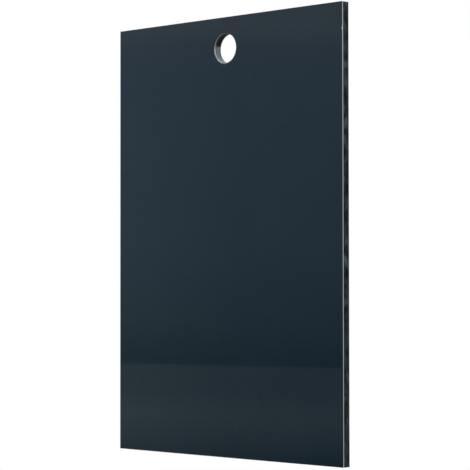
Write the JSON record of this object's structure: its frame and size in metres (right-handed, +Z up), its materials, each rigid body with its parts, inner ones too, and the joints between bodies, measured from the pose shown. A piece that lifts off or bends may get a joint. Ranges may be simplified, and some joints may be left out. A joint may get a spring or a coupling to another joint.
{
  "type": "kick plate",
  "caption": "Flat rectangular aluminium composite kick plate with a gloss anthracite front, a black plastic core and one hanging hole near the top edge.",
  "frame": {"origin": "on the axis of the hole, in the plate's rear face", "axes": "+Z up along the plate's height, +X to the right seen from the front, -Y out of the gloss front face"},
  "size_m": [0.105, 0.003, 0.148],
  "materials": {
    "colour_coat": "high gloss coil-coated lacquer, blue anthracite",
    "skin_metal": "mill finish sheet with bright cut edges",
    "bond_film": "adhesive film",
    "core_plastic": "black polyethylene, sawn at the edges and drilled smooth in the hole",
    "service_coat": "thin satin grey service lacquer"
  },
  "bodies": {
    "root": {"colour_coat": "colour_coat", "front_skin": "skin_metal", "front_bond_film": "bond_film", "core": "core_plastic", "rear_bond_film": "bond_film", "rear_skin": "skin_metal", "service_coat": "service_coat"}
  },
  "joints": []
}
